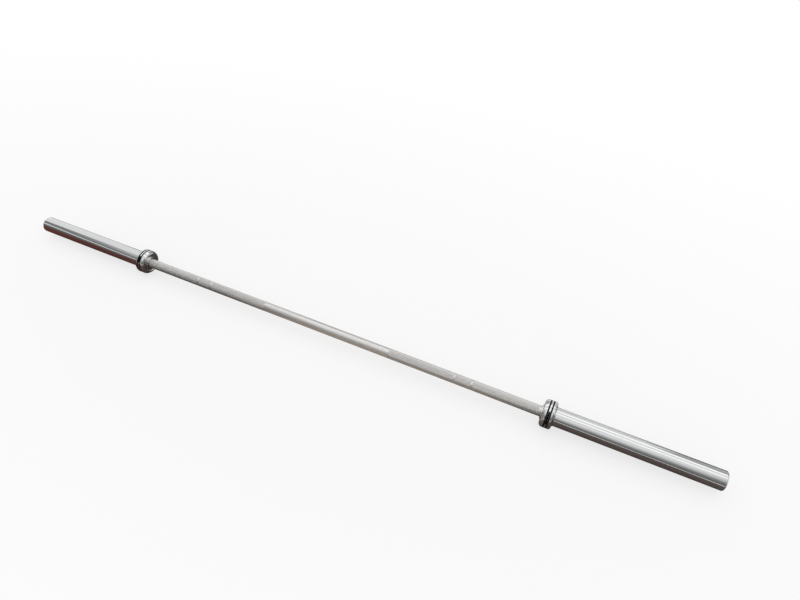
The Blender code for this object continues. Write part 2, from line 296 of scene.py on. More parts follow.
# %% Materials: bright chrome
CHROME = (0.66, 0.665, 0.67)
CLEAN, RUBBED = 0.75, 2.2  # multiples of the roughness


def bright_chrome(name, roughness, lines, rubbed):
    """Lines is their depth in metres, rubbed is the amount of rub marks."""
    finish = Finish(name, CHROME, 1.0, roughness)
    turning = finish.group(lathe_lines)
    worn = finish.group(rub_marks, Amount=rubbed)
    wear = math_node(finish.tree, "ADD", worn["Scratches"], worn["Smudges"])
    finish.rough(map_range(finish.tree, wear, 0.0, 1.0, roughness * CLEAN, roughness * RUBBED))
    finish.shade(turning["Coarse"], dark=0.94, light=1.04)
    finish.bump(turning["Fine"], lines)
    return finish.material


sleeve_chrome = bright_chrome("sleeve_bright_chrome", 0.085, lines=4.0e-6, rubbed=0.6)
collar_chrome = bright_chrome("collar_polished_chrome", 0.07, lines=2.5e-6, rubbed=0.3)
shield_steel = bright_chrome("shield_pressed_steel", 0.16, lines=2.5e-6, rubbed=0.4)

# %% [markdown]
# **Shaft chrome.** The shaft is chromed over a blasted surface, so it is satin. The knurled lengths add
# their own shade: dull in the valleys, brighter on the tips that hands rub.

# %% Materials: satin chrome
SATIN = (0.68, 0.672, 0.655)
SATIN_LINES = 4.0e-6  # depth of the lathe lines in metres


def plain_satin_chrome():
    roughness = 0.42
    finish = Finish("shaft_plain_satin_chrome", SATIN, 1.0, roughness)
    turning = finish.group(lathe_lines)
    smudges = finish.group(rub_marks, Amount=0.7)["Smudges"]
    finish.shade(turning["Coarse"], dark=0.95, light=1.04)
    finish.rough(map_range(finish.tree, smudges, 0.15, 0.6, roughness * 0.85, roughness * 1.25))
    finish.bump(turning["Fine"], SATIN_LINES)
    return finish.material


def knurled_satin_chrome():
    roughness = 0.22
    finish = Finish("shaft_knurl_satin_chrome", SATIN, 1.0, roughness)
    tips = finish.group(knurl_depth)["Tips"]
    finish.shade(tips, dark=0.80, light=1.06)
    finish.rough(map_range(finish.tree, tips, 0.0, 1.0, roughness * 1.3, roughness * 0.85))
    finish.bump(finish.group(lathe_lines)["Fine"], SATIN_LINES)
    return finish.material


plain_shaft_chrome = plain_satin_chrome()
knurl_chrome = knurled_satin_chrome()

# %% [markdown]
# **Rubber.** The two black bands and the dust seal are moulded rubber: nearly black, with a fine grain
# from the mould and a trace of chalk dust that makes them lighter in patches. The black film between the
# bands is made the same way, and is the blackest.

# %% Materials: black rubber and the black film
GRAIN_DEPTH = 2.0e-5  # in metres


def black_rubber(name, colour, roughness, specular):
    finish = Finish(name, colour, 0.0, roughness)
    finish.shader.inputs["Specular IOR Level"].default_value = specular
    grain = noise(finish.tree, finish.place, scale=2600, detail=2.0, roughness=0.6)
    dust = noise(finish.tree, finish.place, scale=160, detail=4.0, roughness=0.65)
    dust = map_range(finish.tree, dust, 0.5, 0.8, 0.0, 1.0)
    finish.shade(dust, dark=1.0, light=2.4)
    finish.rough(map_range(finish.tree, dust, 0.0, 1.0, roughness, roughness + 0.2))
    finish.bump(grain, GRAIN_DEPTH, strength=0.6)
    return finish.material


band_rubber = black_rubber("band_black_rubber", (0.006, 0.006, 0.0065), roughness=0.6, specular=0.1)
seal_rubber = black_rubber("seal_black_rubber", (0.02, 0.02, 0.02), roughness=0.6, specular=0.3)
strip_film = black_rubber("strip_black_film", (0.003, 0.003, 0.003), roughness=0.55, specular=0.02)

# %% [markdown]
# **Bearing metals.** The bushes, washers and retaining rings are inside the sleeve. They are seen only
# when the bar is taken apart, but a part in a library does get taken apart, so they have their metals too.

# %% Materials: bronze, ground steel, blackened spring steel and the brushed cap
GRINDING = (40, 60, 2200)  # changes a metre along X, Y and Z
TURNED_DEPTH = 6.0e-6  # in metres
GROUND_DEPTH = 4.0e-6


def bearing_bronze():
    finish = Finish("bearing_bronze", (0.55, 0.36, 0.16), 1.0, 0.3)
    pores = noise(finish.tree, finish.place, scale=1400, detail=3.0, roughness=0.6)
    finish.shade(map_range(finish.tree, pores, 0.35, 0.6, 0.0, 1.0), dark=0.62, light=1.05)
    finish.rough(map_range(finish.tree, pores, 0.3, 0.7, 0.42, 0.26))
    finish.bump(finish.group(lathe_lines)["Fine"], TURNED_DEPTH)
    return finish.material


def ground_steel():
    finish = Finish("ground_washer_steel", (0.5, 0.5, 0.51), 1.0, 0.28)
    lines = stretch(finish.tree, finish.place, GRINDING)
    lines = noise(finish.tree, lines, detail=3.0, roughness=0.6)
    finish.shade(lines, dark=0.9, light=1.06)
    finish.rough(map_range(finish.tree, lines, 0.3, 0.7, 0.22, 0.34))
    finish.bump(lines, GROUND_DEPTH)
    return finish.material


def blackened_spring_steel():
    finish = Finish("blackened_spring_steel", (0.06, 0.06, 0.065), 0.8, 0.42)
    bloom = noise(finish.tree, finish.place, scale=420, detail=4.0, roughness=0.6)
    finish.shade(bloom, dark=0.7, light=1.5)
    finish.rough(map_range(finish.tree, bloom, 0.3, 0.7, 0.34, 0.5))
    return finish.material


def brushed_cap_chrome():
    finish = Finish("cap_brushed_chrome", CHROME, 1.0, 0.24)
    radius = distance(finish.tree, stretch(finish.tree, finish.place, ACROSS))
    rings = noise(finish.tree, radius, scale=4200, detail=3.0, roughness=0.6)
    finish.shade(rings, dark=0.86, light=1.06)
    finish.rough(map_range(finish.tree, rings, 0.3, 0.7, 0.18, 0.32))
    finish.bump(rings, TURNED_DEPTH)
    return finish.material


bush_bronze = bearing_bronze()
washer_steel = ground_steel()
ring_steel = blackened_spring_steel()
cap_chrome = brushed_cap_chrome()
print("finishes:", len(bpy.data.materials))

# %% [markdown]
# ## Turning a piece
#
# A lathe makes a piece from a half section. So does `bmesh.ops.spin`: the section's corners become
# vertices joined by edges, the corners that carry a round are rounded with a vertex bevel, and the wire
# is spun once round the bar's axis with `use_merge`, which closes the ring.
#
# The alternative, a Screw modifier, gives the same shape but leaves the rounding to a list of points.
# Bevelling the corners first keeps the section down to the numbers that are on the drawing.

# %% Helpers: make the objects
SHARP = math.radians(32)
WELD = 0.001 * MM  # vertices that lie nearer than this become one


def mesh_object(bm, name, material):
    """Makes the bmesh an object at the origin, shaded smooth."""
    mesh = bpy.data.meshes.new(name)
    bm.to_mesh(mesh)
    bm.free()
    mesh.shade_smooth()
    mesh.materials.append(material)
    obj = bpy.data.objects.new(name, mesh)
    bpy.context.scene.collection.objects.link(obj)
    return obj


def add_object(bm, name, material, body):
    """A piece of the bar, with its sharp edges kept, riding on a body of the frame."""
    obj = mesh_object(bm, name, material)
    obj.data.set_sharp_from_angle(angle=SHARP)
    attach(obj, body)
    return obj


# %% Helpers: spin a section
STEPS_ROUND = 144  # facets round a turned piece
STEPS_SMALL = 96  # facets round the shaft and round the pieces in the hub's mouth
ROUND_SEGMENTS = 8  # facets along a round
SMALL_ROUND = 0.5 * MM  # a round up to this gets fewer
SMALL_SEGMENTS = 3


def section_wire(bm, corners, closed):
    """A vertex at each corner, in the plane through the axis, joined in order."""
    wire = [bm.verts.new((station, 0, radius)) for station, radius, *_ in corners]
    for first, second in zip(wire, wire[1:] + (wire[:1] if closed else [])):
        bm.edges.new((first, second))
    return wire


def spin(bm, geom, axis=(1, 0, 0), angle=math.tau, steps=STEPS_ROUND):
    """Spins geometry round an axis through the origin. A full turn closes on itself."""
    bmesh.ops.spin(
        bm,
        geom=geom,
        cent=(0, 0, 0),
        axis=axis,
        dvec=(0, 0, 0),
        angle=angle,
        steps=steps,
        use_merge=angle == math.tau,
        use_duplicate=False,
    )


def turn(corners, closed=True, steps=STEPS_ROUND):
    """Spins a section. A corner is a station and a radius, and a third number is the round on it."""
    bm = bmesh.new()
    wire = section_wire(bm, corners, closed)
    rounded = {}
    for vert, (_, _, *rounds) in zip(wire, corners):
        for radius in rounds:
            rounded.setdefault(radius, []).append(vert)
    for radius, verts in rounded.items():
        bmesh.ops.bevel(
            bm,
            geom=verts,
            offset=radius,
            offset_type="OFFSET",
            affect="VERTICES",
            segments=ROUND_SEGMENTS if radius > SMALL_ROUND else SMALL_SEGMENTS,
            profile=0.5,
            material=-1,
        )
    spin(bm, bm.verts[:] + bm.edges[:], steps=steps)
    bmesh.ops.remove_doubles(bm, verts=bm.verts, dist=WELD)
    bmesh.ops.recalc_face_normals(bm, faces=bm.faces[:])
    return bm


def outward(corners, side):
    """The corners on one side of the bar: right as given, left mirrored."""
    return [(station * SIDES[side], *rest) for station, *rest in corners]


# %% [markdown]
# ## Sleeve tubes
#
# The plates slide on this tube. Outside it is a plain cylinder with a chamfered end; its inner end is
# turned down to a seat for the collar and shows as a round hub about the shaft. Inside are two
# counterbores for the bushes, one for the end cap and a groove for the cap's retaining ring, all of them
# in one section.

# %% Make the two sleeve tubes
SEAT_R = 23.0 * MM
SEAT_END = collar_face + 28.0 * MM
LIP_END = collar_face + 4.6 * MM  # the collar closes round the hub up to here
POCKET_R = 17.6 * MM
BUSH_SEAT_R = 15.6 * MM
BORE_R = 14.6 * MM
CAP_BORE_R = 19.5 * MM
CAP_GROOVE_R = 20.9 * MM
FLANGE = 2.5 * MM + GAP  # room for a bush's flange
SLEEVE_CHAMFER = 3.0 * MM
CHAMFER_ROUND = 0.4 * MM
HUB_ROUND = 0.8 * MM
POCKET_ROUND = 0.3 * MM
MOUTH = 0.6 * MM  # chamfer inside the open end


def make_sleeve(side):
    corners = [
        (sleeve_end, CAP_BORE_R + MOUTH),
        (sleeve_end, SLEEVE_R - SLEEVE_CHAMFER, CHAMFER_ROUND),
        (sleeve_end - SLEEVE_CHAMFER, SLEEVE_R, CHAMFER_ROUND),
        (SEAT_END, SLEEVE_R),
        (SEAT_END, SEAT_R),
        (LIP_END + GAP, SEAT_R),
        (LIP_END + GAP, HUB_R),
        (hub_face, HUB_R, HUB_ROUND),
        (hub_face, POCKET_R, POCKET_ROUND),
        (inner_bush_face + FLANGE, POCKET_R),
        (inner_bush_face + FLANGE, BUSH_SEAT_R),
        (inner_bush_end + GAP, BUSH_SEAT_R),
        (inner_bush_end + GAP, BORE_R),
        (outer_bush_end - GAP, BORE_R),
        (outer_bush_end - GAP, BUSH_SEAT_R),
        (outer_bush_face - FLANGE, BUSH_SEAT_R),
        (outer_bush_face - FLANGE, POCKET_R),
        (cap_back - GAP, POCKET_R),
        (cap_back - GAP, CAP_BORE_R),
        (cap_ring_back - GAP, CAP_BORE_R),
        (cap_ring_back - GAP, CAP_GROOVE_R),
        (cap_ring_face + GAP, CAP_GROOVE_R),
        (cap_ring_face + GAP, CAP_BORE_R),
        (sleeve_end - MOUTH, CAP_BORE_R),
    ]
    bm = turn(outward(corners, side))
    obj = add_object(bm, f"{side}_sleeve", sleeve_chrome, f"{side}_sleeve")
    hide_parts(f"{side}_sleeve_tube")
    return obj


for side in SIDES:
    made = make_sleeve(side)
    print(made.name, "faces:", len(made.data.polygons))

# %% [markdown]
# ## Collars
#
# The collar stops the plates. Its section has a big round on the grip side, a smaller one on the plate
# side, a flat ring for the plate to rest against and a hollow fillet down to the sleeve. Two grooves
# hold the black bands, with a bright rib between them. The face towards the hands is dished.

# %% Make the two collars
TOE_R = 25.7 * MM
INNER_ROUND = 10.5 * MM
OUTER_ROUND = 7.0 * MM
STOP_FILLET = 3.0 * MM
BAND_DEPTH = 1.8 * MM
DISH_DEPTH = 1.6 * MM
DISH_EDGE = 1.8 * MM  # from the big round's foot in to the dish
DISH_ROUND = 0.6 * MM
LIP = 0.25 * MM  # small round on the edges of the band grooves
stop_face = collar_end - STOP_FILLET
band_stations = [stations("inner_band"), stations("outer_band")]


def make_collar(side):
    crown_r = COLLAR_R - INNER_ROUND
    corners = [(collar_face, crown_r), (collar_face, COLLAR_R, INNER_ROUND)]
    for start, end in band_stations:
        corners += [
            (start - GAP, COLLAR_R, LIP),
            (start - GAP, COLLAR_R - BAND_DEPTH),
            (end + GAP, COLLAR_R - BAND_DEPTH),
            (end + GAP, COLLAR_R, LIP),
        ]
    corners += [
        (stop_face, COLLAR_R, OUTER_ROUND),
        (stop_face, TOE_R, STOP_FILLET),
        (collar_end, TOE_R),
        (collar_end, SLEEVE_R + GAP),
        (SEAT_END - GAP, SLEEVE_R + GAP),
        (SEAT_END - GAP, SEAT_R + GAP),
        (LIP_END, SEAT_R + GAP),
        (LIP_END, HUB_R + GAP),
        (collar_face + DISH_DEPTH, HUB_R + GAP),
        (collar_face + DISH_DEPTH, crown_r - DISH_EDGE, DISH_ROUND),
    ]
    bm = turn(outward(corners, side))
    obj = add_object(bm, f"{side}_stop_collar", collar_chrome, f"{side}_sleeve")
    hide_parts(f"{side}_collar")
    return obj


for side in SIDES:
    made = make_collar(side)
    print(made.name, "faces:", len(made.data.polygons))

# %% [markdown]
# ## Rubber bands and dust seals
#
# The bands are moulded rings, a little below the collar's surface, with rounded edges so that a thin
# line of shadow shows each side of them. The seal sits in the hub's mouth and has a groove that leaves
# a thin lip on the shaft. A seal could show as a plain black ring there, but on the real hub the metal
# seems to close in round the shaft, so a thin pressed ring stands in front of it.

# %% Make the bands, the seals and their shields
BAND_R = COLLAR_R - 0.2 * MM
BAND_EDGE_R = BAND_R - 0.12 * MM
BAND_ROUND = 0.5 * MM
SEAL_LIP = 0.6 * MM
SEAL_GROOVE = 1.5 * MM
SEAL_ROUND = 0.2 * MM
GROOVE_ROUND = 0.4 * MM
RUBBER_SHOWN = 0.9 * MM  # of the seal's lip, between the shaft and the shield
SHIELD_CLEAR = 0.1 * MM
SHIELD_DEPTH = 0.15 * MM  # from the hub's face back to the shield
SHIELD_THICK = 0.5 * MM
SHIELD_ROUND = 0.2 * MM


def make_band(side, name, start, end):
    seat = COLLAR_R - BAND_DEPTH + GAP
    corners = [
        (start, seat),
        (start, BAND_EDGE_R, BAND_ROUND),
        ((start + end) / 2, BAND_R),
        (end, BAND_EDGE_R, BAND_ROUND),
        (end, seat),
    ]
    bm = turn(outward(corners, side))
    obj = add_object(bm, f"{side}_{name}_rubber", band_rubber, f"{side}_sleeve")
    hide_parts(f"{side}_{name}")


def make_seal(side):
    inner, outer = SHAFT_R + GAP, POCKET_R - GAP
    corners = [
        (seal_end, inner),
        (seal_start, inner, SEAL_ROUND),
        (seal_start, inner + SEAL_LIP, SEAL_ROUND),
        (seal_start + SEAL_GROOVE, (inner + outer) / 2, GROOVE_ROUND),
        (seal_start, outer - SEAL_LIP, SEAL_ROUND),
        (seal_start, outer, SEAL_ROUND),
        (seal_end, outer),
    ]
    bm = turn(outward(corners, side), steps=STEPS_SMALL)
    obj = add_object(bm, f"{side}_dust_seal_rubber", seal_rubber, f"{side}_sleeve")
    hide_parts(f"{side}_dust_seal")


def make_shield(side):
    """A pressed steel ring in front of the seal, with a thin lip of the rubber showing at the shaft."""
    inner, outer = SHAFT_R + RUBBER_SHOWN, POCKET_R - SHIELD_CLEAR
    front = hub_face + SHIELD_DEPTH
    back = front + SHIELD_THICK
    corners = [
        (back, inner),
        (front, inner, SHIELD_ROUND),
        (front, outer, SHIELD_ROUND),
        (back, outer),
    ]
    bm = turn(outward(corners, side), steps=STEPS_SMALL)
    add_object(bm, f"{side}_seal_shield", shield_steel, f"{side}_sleeve")


for side in SIDES:
    for name, (start, end) in zip(("inner_band", "outer_band"), band_stations):
        make_band(side, name, start, end)
    make_seal(side)
    make_shield(side)
print("bands, seals and shields made, band radius", round(BAND_R / MM, 2), "mm")

# %% [markdown]
# ## Black strips
#
# Part of the way round, on the front of each collar above level, a thin plain black film covers the rib
# between the two bands and wraps over its edges, down past the bands' surface, so that the rib is black
# there and bright chrome elsewhere. It could be paint in the material, but a film has a thickness that
# shows at its ends. It is a section spun through less than a full turn: spinning its face, not just its
# edges, closes both ends as well.

# %% Make the black strips
FILM = 0.12 * MM
WRAP = 0.5 * MM  # how far the film's sides reach down into the bands' grooves
STRIP_ARC = {"left": math.radians(32.5), "right": math.radians(57.5)}
STRIP_LOW = {"left": math.radians(35), "right": math.radians(7.5)}  # lower end, above level, in front


def make_strip(side):
    near = band_stations[0][1] + GAP
    far = band_stations[1][0] - GAP
    corners = [
        (near - FILM, COLLAR_R - WRAP),
        (near - FILM, COLLAR_R + FILM),
        (far + FILM, COLLAR_R + FILM),
        (far + FILM, COLLAR_R - WRAP),
        (far, COLLAR_R - WRAP),
        (far, COLLAR_R),
        (near, COLLAR_R),
        (near, COLLAR_R - WRAP),
    ]
    bm = bmesh.new()
    wire = section_wire(bm, outward(corners, side), closed=True)
    face = bm.faces.new(wire)
    start = Matrix.Rotation(math.radians(90) - STRIP_LOW[side], 3, "X")
    bmesh.ops.rotate(bm, verts=wire, cent=(0, 0, 0), matrix=start)
    steps = round(STEPS_ROUND * STRIP_ARC[side] / math.tau)
    spin(bm, [face] + face.edges[:] + face.verts[:], angle=-STRIP_ARC[side], steps=steps)
    bmesh.ops.recalc_face_normals(bm, faces=bm.faces[:])
    return add_object(bm, f"{side}_black_strip", strip_film, f"{side}_sleeve")


for side in SIDES:
    made = make_strip(side)
    print(made.name, "faces:", len(made.data.polygons))

# %% [markdown]
# ## End caps and their retaining rings
#
# A plain disc closes each sleeve, turned with fine rings and a raised rim. The ring that holds it is a
# flat spring with a gap between two drilled lugs. It is not a full turn, so it is drawn as a flat curve
# with two holes, which Blender fills, and then given its thickness, turned to face along the bar and made
# a mesh.

# %% Make the end caps
CAP_R = 19.2 * MM
CAP_RIM = 4.5 * MM
CAP_DISH = 0.8 * MM
CAP_ROUND = 0.5 * MM
RIM_ROUND = 0.3 * MM


def make_cap(side):
    corners = [
        (cap_back, 0),
        (cap_back, CAP_R),
        (cap_face, CAP_R, CAP_ROUND),
        (cap_face, CAP_R - CAP_RIM + CAP_DISH, RIM_ROUND),
        (cap_face - CAP_DISH, CAP_R - CAP_RIM, RIM_ROUND),
        (cap_face - CAP_DISH, 0),
    ]
    bm = turn(outward(corners, side), closed=False)
    obj = add_object(bm, f"{side}_cap_disc", cap_chrome, f"{side}_sleeve")
    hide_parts(f"{side}_end_cap")
    return obj


for side in SIDES:
    made = make_cap(side)
    print(made.name, "faces:", len(made.data.polygons))

# %% Make the caps' retaining rings
RING_STEPS = 72
RING_GAP = math.radians(26)
RING_THIN = 2.0 * MM  # width beside the lugs
RING_THICK = 3.6 * MM  # width opposite them
CAP_LUG = 5.0 * MM
LUG_WIDTH = 5.2 * MM
LUG_HOLE_R = 1.0 * MM
HOLE_STEPS = 24
TURN_UP = {  # the outline's X, where the gap is, points up on the bar, and its Z points outwards
    "right": Matrix(((0, 0, 1), (0, 1, 0), (1, 0, 0))) @ Matrix.Diagonal((1, -1, 1)),
    "left": Matrix(((0, 0, -1), (0, 1, 0), (1, 0, 0))),
}


def polar(radius, angle):
    return (radius * math.cos(angle), radius * math.sin(angle))


def add_loop(curve, points):
    """One closed outline of a flat curve."""
    spline = curve.splines.new("POLY")
    spline.points.add(len(points) - 1)
    for point, (x, y) in zip(spline.points, points):
        point.co = (x, y, 0, 1)
    spline.use_cyclic_u = True


def ring_outline(seat_r):
    """The edge in the groove, then the lugs and the tapering inner edge."""
    lug_r = seat_r - CAP_LUG
    lug_angle = LUG_WIDTH / lug_r
    start, full = RING_GAP / 2, math.tau
    body = start + lug_angle
    seated, free = [], []
    for i in range(RING_STEPS + 1):
        seated.append(polar(seat_r, start + (full - 2 * start) * i / RING_STEPS))
        angle = body + (full - 2 * body) * i / RING_STEPS
        width = RING_THIN + (RING_THICK - RING_THIN) * (1 - math.cos(angle)) / 2
        free.append(polar(seat_r - width, angle))
    far_lug = [polar(lug_r, full - start), polar(lug_r, full - body)]
    near_lug = [polar(lug_r, body), polar(lug_r, start)]
    return seated + far_lug + free[::-1] + near_lug, start + lug_angle / 2


def make_cap_ring(side):
    seat_r = CAP_GROOVE_R - GAP
    curve = bpy.data.curves.new(f"{side}_cap_ring_outline", "CURVE")
    curve.dimensions = "2D"
    curve.fill_mode = "BOTH"
    curve.extrude = (cap_ring_face - cap_ring_back) / 2
    outline, lug = ring_outline(seat_r)
    add_loop(curve, outline)
    for angle in (lug, -lug):
        x, y = polar(seat_r - CAP_LUG / 2, angle)
        hole = [polar(LUG_HOLE_R, math.tau * i / HOLE_STEPS) for i in range(HOLE_STEPS)]
        add_loop(curve, [(x + dx, y + dy) for dx, dy in hole])
    drawn = bpy.data.objects.new(f"{side}_cap_ring_outline", curve)
    bpy.context.scene.collection.objects.link(drawn)
    bpy.context.view_layer.update()
    depsgraph = bpy.context.evaluated_depsgraph_get()
    filled = bpy.data.meshes.new_from_object(drawn.evaluated_get(depsgraph))
    bpy.data.objects.remove(drawn)
    bm = bmesh.new()
    bm.from_mesh(filled)
    bpy.data.meshes.remove(filled)
    bmesh.ops.remove_doubles(bm, verts=bm.verts, dist=WELD)
    bmesh.ops.rotate(bm, verts=bm.verts, matrix=TURN_UP[side])
    middle = SIDES[side] * (cap_ring_face + cap_ring_back) / 2
    bmesh.ops.translate(bm, verts=bm.verts, vec=(middle, 0, 0))
    bmesh.ops.recalc_face_normals(bm, faces=bm.faces[:])
    obj = add_object(bm, f"{side}_cap_spring_ring", ring_steel, f"{side}_sleeve")
    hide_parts(f"{side}_end_cap_ring")
    return obj


for side in SIDES:
    made = make_cap_ring(side)
    print(made.name, "faces:", len(made.data.polygons))

# %% [markdown]
# ## Shaft
#
# The plain shaft is one turning again: smooth centre, ring marks, shoulders, the journals that the
# bushes run on and the grooves for the outer retaining rings. Where the knurl lies, this core is turned
# a little deeper than the knurl's valleys, so that the knurled pieces stand on it.

# %% Where the knurl starts and ends
SMOOTH_CENTRE = 416 * MM
NARROW_MARK = 405 * MM  # centre of a ring mark, from the middle of the bar
WIDE_MARK = 455 * MM
MARK_WIDTH = 4 * MM
PLAIN_END = 6 * MM  # of plain shaft before the hub
lands = [
    (SMOOTH_CENTRE / 2, NARROW_MARK - MARK_WIDTH / 2),
    (NARROW_MARK + MARK_WIDTH / 2, WIDE_MARK - MARK_WIDTH / 2),
    (WIDE_MARK + MARK_WIDTH / 2, hub_face - PLAIN_END),
]
for start, end in lands:
    print(f"knurled from {start:.3f} to {end:.3f} m")

# %% Make the plain shaft
CORE_R = KNURL_VALLEY_R - 0.1 * MM
LAND_ROUND = 0.12 * MM
GROOVE_R = JOURNAL_R - 0.9 * MM
GROOVE_PLACE = 4.5 * MM  # from the shaft's end in to the groove
GROOVE_WIDTH = 2.6 * MM
JOURNAL_ROUND = 1.0 * MM
CENTRE_HOLE = 3.5 * MM  # radius and depth of the hole that a lathe's centre leaves
shoulder = seal_end
groove_end = shaft_end - GROOVE_PLACE
groove_start = groove_end - GROOVE_WIDTH


def shaft_half():
    half = []
    for start, end in lands:
        half += [(start, SHAFT_R, LAND_ROUND), (start, CORE_R), (end, CORE_R), (end, SHAFT_R, LAND_ROUND)]
    half += [
        (shoulder, SHAFT_R, LAND_ROUND),
        (shoulder, JOURNAL_R),
        (groove_start, JOURNAL_R),
        (groove_start, GROOVE_R),
        (groove_end, GROOVE_R),
        (groove_end, JOURNAL_R),
        (shaft_end, JOURNAL_R, JOURNAL_ROUND),
        (shaft_end, CENTRE_HOLE),
        (shaft_end - CENTRE_HOLE, 0),
    ]
    return half


corners = outward(shaft_half(), "left")[::-1] + shaft_half()
bm = turn(corners, closed=False, steps=STEPS_SMALL)
core = add_object(bm, "plain_shaft", plain_shaft_chrome, "shaft")
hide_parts("shaft")
print(core.name, "faces:", len(core.data.polygons))

# %% [markdown]
# ## Knurl
#
# A knurling tool presses two crossed spirals into the steel and leaves small pyramids. Two crossed
# spirals are awkward to model, but their result is simple: rows of diamonds, each raised to a point.
#
# So the knurl starts as a plain grid on a tube. `poke` puts a vertex in the middle of each cell, then
# dissolving the grid's own edges leaves exactly the diamonds between those vertices, and a second `poke`
# with an offset raises each diamond into a pyramid. No angle of a spiral is ever worked out. The last
# step turns the open tube into a closed sleeve by extruding its two rims inwards and bridging them.

# %% Helper: one knurled length
KNURLS_ROUND = 65  # diamonds round the shaft
KNURL_LEAD = 2.4 * MM  # length of a diamond along the bar
KNURL_HEIGHT = KNURL_CREST_R - KNURL_VALLEY_R


def knurled_length(start, end):
    bm = bmesh.new()
    section_wire(bm, [(start, KNURL_VALLEY_R), (end, KNURL_VALLEY_R)], closed=False)
    rows = round((end - start) / KNURL_LEAD)
    bmesh.ops.subdivide_edges(bm, edges=bm.edges[:], cuts=rows - 1)
    spin(bm, bm.verts[:] + bm.edges[:], steps=KNURLS_ROUND)
    grid = [edge for edge in bm.edges if len(edge.link_faces) == 2]
    bmesh.ops.poke(bm, faces=bm.faces[:], offset=0.0, center_mode="MEAN")
    bmesh.ops.dissolve_edges(bm, edges=grid, use_verts=False)
    bmesh.ops.recalc_face_normals(bm, faces=bm.faces[:])
    diamonds = [face for face in bm.faces if len(face.verts) == 4]
    bmesh.ops.poke(bm, faces=diamonds, offset=KNURL_HEIGHT, center_mode="MEAN")
    rims = [edge for edge in bm.edges if len(edge.link_faces) == 1]
    skirt = bmesh.ops.extrude_edge_only(bm, edges=rims)["geom"]
    inner = [v for v in skirt if isinstance(v, bmesh.types.BMVert)]
    shrink = CORE_R / KNURL_VALLEY_R
    bmesh.ops.scale(bm, verts=inner, vec=(1, shrink, shrink))
    rims = [edge for edge in bm.edges if len(edge.link_faces) == 1]
    bmesh.ops.bridge_loops(bm, edges=rims)
    bmesh.ops.recalc_face_normals(bm, faces=bm.faces[:])
    return bm, len(diamonds)


# %% Make the six knurled lengths
PLACES = ("inner", "middle", "outer")
for side in SIDES:
    for place, (start, end) in zip(PLACES, lands):
        near, far = sorted((start * SIDES[side], end * SIDES[side]))
        bm, diamonds = knurled_length(near, far)
        crest = max(math.hypot(v.co.y, v.co.z) for v in bm.verts)
        made = add_object(bm, f"{side}_{place}_knurl", knurl_chrome, "shaft")
        made.data.shade_flat()
        print(made.name, "diamonds:", diamonds, "crest radius in mm:", round(crest / MM, 3))

# %% [markdown]
# ## Bearing pieces
#
# The bushes, thrust washers and outer retaining rings keep their CAD shapes, which are already true to
# size, and only take on their metals.

# %% Give the kept pieces their metals
KEPT = {
    "inner_bush": bush_bronze,
    "outer_bush": bush_bronze,
    "inner_thrust_washer": washer_steel,
    "outer_thrust_washer": washer_steel,
    "shaft_ring": ring_steel,
}
for side in SIDES:
    for name, material in KEPT.items():
        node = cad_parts[f"{side}_{name}"]
        for slot in node.material_slots:
            slot.material = material
print("kept pieces:", 2 * len(KEPT))

# %% [markdown]
# ## Floor, reflections and light
#
# The bar lies on a plain pale floor, which turns plain white away from the bar. Chrome has no colour of
# its own to show, so what stands round it matters more than the lamps: in a white room it looks like
# white paint. As in a product studio, some things are there only to be reflected:
#
# - a mat in front of the bar and under it, dark red at the left, pale in the middle, dark at the right;
# - a pale mat behind the bar, with a dark stretch at the left and a grey one at the right;
# - three boards standing up behind the bar, which draw the thin line along the top edges;
# - a graduated card curved round the front that glows with its own light, darkest at its foot, with a
#   slanting light line painted into its glow.
#
# Between them they draw the bands of light and dark that make metal look like metal.

# %% Helpers: stage pieces and rays
FLOOR_Z = -COLLAR_R
PALE = (0.9, 0.9, 0.9)  # the floor, and the mats where they aren't meant to show


def stage_object(bm, name, material):
    obj = mesh_object(bm, name, material)
    return obj


def only_in_reflections(obj):
    obj.visible_camera = False
    obj.visible_diffuse = False
    obj.visible_transmission = False
    obj.visible_shadow = False


def level_sheet(left, right, front, back, height):
    """A flat level rectangle between two distances along the bar and two across it."""
    bm = bmesh.new()
    bmesh.ops.create_grid(bm, x_segments=1, y_segments=1, size=0.5)
    bmesh.ops.scale(bm, verts=bm.verts, vec=(right - left, back - front, 1))
    bmesh.ops.translate(bm, verts=bm.verts, vec=((left + right) / 2, (front + back) / 2, height))
    return bm


def seen_rays(tree):
    """1 where the camera or a reflection looks, and 0 for the light that dull surfaces gather."""
    rays = tree.nodes.new("ShaderNodeLightPath").outputs
    seen = math_node(tree, "MAXIMUM", rays["Is Camera Ray"], rays["Is Glossy Ray"])
    return math_node(tree, "MAXIMUM", seen, rays["Is Transmission Ray"])


# %% Floor
FLOOR_REACH = 30.0
WHITE_SHARE = 0.7  # of the floor's look near the bar
SHADOW_REACH = (0.4, 1.5)  # metres from the bar over which the rest of the look turns white too
SHADOW_STRETCH = (0.45, 1, 0)  # that distance grows more slowly along the bar than across it


def floor_material():
    """What the camera sees is plain white, mixed near the bar with the lit floor and its shadows."""
    material, tree = new_material("pale_floor")
    shader = tree.nodes["Principled BSDF"]
    shader.inputs["Base Color"].default_value = (*PALE, 1)
    shader.inputs["Roughness"].default_value = 0.9
    shader.inputs["Specular IOR Level"].default_value = 0.1
    white = tree.nodes.new("ShaderNodeEmission")
    place = tree.nodes.new("ShaderNodeTexCoord").outputs["Object"]
    away = distance(tree, stretch(tree, place, SHADOW_STRETCH))
    share = map_range(tree, away, *SHADOW_REACH, WHITE_SHARE, 1.0)
    mix = tree.nodes.new("ShaderNodeMixShader")
    tree.links.new(math_node(tree, "MULTIPLY", seen_rays(tree), share), mix.inputs[0])
    tree.links.new(shader.outputs[0], mix.inputs[1])
    tree.links.new(white.outputs[0], mix.inputs[2])
    tree.links.new(mix.outputs[0], tree.nodes["Material Output"].inputs["Surface"])
    return material


